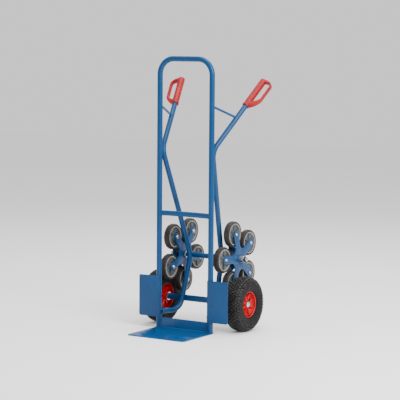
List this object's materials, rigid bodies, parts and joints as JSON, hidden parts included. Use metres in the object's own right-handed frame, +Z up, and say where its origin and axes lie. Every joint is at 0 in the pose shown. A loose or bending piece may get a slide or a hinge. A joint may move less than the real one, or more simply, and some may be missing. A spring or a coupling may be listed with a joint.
{
  "type": "stair climbing hand truck",
  "caption": "Upright blue steel hand truck with a toe plate, splayed handles with guarded grips, pneumatic wheels and star-shaped stair-climbing wheel sets.",
  "frame": {"origin": "middle of the bounding box's underside, on the floor that the truck stands on", "axes": "+Z up along the rails, +X to the right as seen from the front, +Y from the toe plate towards the wheels and handles"},
  "size_m": [0.5688, 0.6492, 1.3],
  "materials": {
    "blue_paint": "smooth semi-gloss powder coat, mid blue",
    "red_plastic": "moulded red plastic, satin gloss",
    "tyre_rubber": "black pneumatic tyre rubber with a block tread",
    "grey_rubber": "dark grey solid rubber tread, matt",
    "grey_plastic": "light warm grey moulded wheel centre, matt",
    "zinc": "bright zinc-plated steel"
  },
  "bodies": {
    "frame": {"main_frame_hoop": "blue_paint", "handle_tube_left": "blue_paint", "handle_tube_right": "blue_paint", "handle_stay_left": "blue_paint", "handle_stay_right": "blue_paint", "upper_cross_bar": "blue_paint", "star_cross_tube": "blue_paint", "wheel_cross_tube": "blue_paint", "toe_plate": "blue_paint", "wheel_guard_left": "blue_paint", "wheel_guard_right": "blue_paint", "handle_grip_left": "red_plastic", "handle_grip_right": "red_plastic", "wheel_axle": "zinc", "star_axle": "zinc", "wheel_axle_cap_left": "zinc", "wheel_axle_cap_right": "zinc", "star_axle_collar_left": "zinc", "star_axle_collar_right": "zinc"},
    "main_wheel_left": {"main_tyre_left": "tyre_rubber", "main_rim_left": "red_plastic"},
    "main_wheel_right": {"main_tyre_right": "tyre_rubber", "main_rim_right": "red_plastic"},
    "star_left": {"star_plate_outer_left": "blue_paint", "star_plate_inner_left": "blue_paint", "star_hub_left": "zinc", "star_bolt_left_1": "zinc", "star_bolt_left_2": "zinc", "star_bolt_left_3": "zinc", "star_bolt_left_4": "zinc", "star_bolt_left_5": "zinc"},
    "star_right": {"star_plate_outer_right": "blue_paint", "star_plate_inner_right": "blue_paint", "star_hub_right": "zinc", "star_bolt_right_1": "zinc", "star_bolt_right_2": "zinc", "star_bolt_right_3": "zinc", "star_bolt_right_4": "zinc", "star_bolt_right_5": "zinc"},
    "star_wheel_left_1": {"star_wheel_left_1_tyre": "grey_rubber", "star_wheel_left_1_hub": "grey_plastic"},
    "star_wheel_left_2": {"star_wheel_left_2_tyre": "grey_rubber", "star_wheel_left_2_hub": "grey_plastic"},
    "star_wheel_left_3": {"star_wheel_left_3_tyre": "grey_rubber", "star_wheel_left_3_hub": "grey_plastic"},
    "star_wheel_left_4": {"star_wheel_left_4_tyre": "grey_rubber", "star_wheel_left_4_hub": "grey_plastic"},
    "star_wheel_left_5": {"star_wheel_left_5_tyre": "grey_rubber", "star_wheel_left_5_hub": "grey_plastic"},
    "star_wheel_right_1": {"star_wheel_right_1_tyre": "grey_rubber", "star_wheel_right_1_hub": "grey_plastic"},
    "star_wheel_right_2": {"star_wheel_right_2_tyre": "grey_rubber", "star_wheel_right_2_hub": "grey_plastic"},
    "star_wheel_right_3": {"star_wheel_right_3_tyre": "grey_rubber", "star_wheel_right_3_hub": "grey_plastic"},
    "star_wheel_right_4": {"star_wheel_right_4_tyre": "grey_rubber", "star_wheel_right_4_hub": "grey_plastic"},
    "star_wheel_right_5": {"star_wheel_right_5_tyre": "grey_rubber", "star_wheel_right_5_hub": "grey_plastic"}
  },
  "joints": [
    {"name": "main_wheel_left_spin", "type": "hinge", "parent": "frame", "child": "main_wheel_left", "pos_m": [-0.2335, 0.08372, 0.13], "axis": [1, 0, 0], "continuous": true},
    {"name": "main_wheel_right_spin", "type": "hinge", "parent": "frame", "child": "main_wheel_right", "pos_m": [0.2335, 0.08372, 0.13], "axis": [1, 0, 0], "continuous": true},
    {"name": "star_left_spin", "type": "hinge", "parent": "frame", "child": "star_left", "pos_m": [-0.153, 0.14109, 0.33457], "axis": [1, 0, 0], "continuous": true},
    {"name": "star_right_spin", "type": "hinge", "parent": "frame", "child": "star_right", "pos_m": [0.153, 0.14109, 0.33457], "axis": [1, 0, 0], "continuous": true},
    {"name": "star_wheel_left_1_spin", "type": "hinge", "parent": "star_left", "child": "star_wheel_left_1", "pos_m": [-0.153, 0.20364, 0.44206], "axis": [1, 0, 0], "continuous": true},
    {"name": "star_wheel_left_2_spin", "type": "hinge", "parent": "star_left", "child": "star_wheel_left_2", "pos_m": [-0.153, 0.05819, 0.42729], "axis": [1, 0, 0], "continuous": true},
    {"name": "star_wheel_left_3_spin", "type": "hinge", "parent": "star_left", "child": "star_wheel_left_3", "pos_m": [-0.153, 0.0273, 0.28439], "axis": [1, 0, 0], "continuous": true},
    {"name": "star_wheel_left_4_spin", "type": "hinge", "parent": "star_left", "child": "star_wheel_left_4", "pos_m": [-0.153, 0.15365, 0.21085], "axis": [1, 0, 0], "continuous": true},
    {"name": "star_wheel_left_5_spin", "type": "hinge", "parent": "star_left", "child": "star_wheel_left_5", "pos_m": [-0.153, 0.26264, 0.30829], "axis": [1, 0, 0], "continuous": true},
    {"name": "star_wheel_right_1_spin", "type": "hinge", "parent": "star_right", "child": "star_wheel_right_1", "pos_m": [0.153, 0.24539, 0.40231], "axis": [1, 0, 0], "continuous": true},
    {"name": "star_wheel_right_2_spin", "type": "hinge", "parent": "star_right", "child": "star_wheel_right_2", "pos_m": [0.153, 0.1089, 0.4547], "axis": [1, 0, 0], "continuous": true},
    {"name": "star_wheel_right_3_spin", "type": "hinge", "parent": "star_right", "child": "star_wheel_right_3", "pos_m": [0.153, 0.01689, 0.34108], "axis": [1, 0, 0], "continuous": true},
    {"name": "star_wheel_right_4_spin", "type": "hinge", "parent": "star_right", "child": "star_wheel_right_4", "pos_m": [0.153, 0.09652, 0.21847], "axis": [1, 0, 0], "continuous": true},
    {"name": "star_wheel_right_5_spin", "type": "hinge", "parent": "star_right", "child": "star_wheel_right_5", "pos_m": [0.153, 0.23774, 0.25631], "axis": [1, 0, 0], "continuous": true}
  ]
}
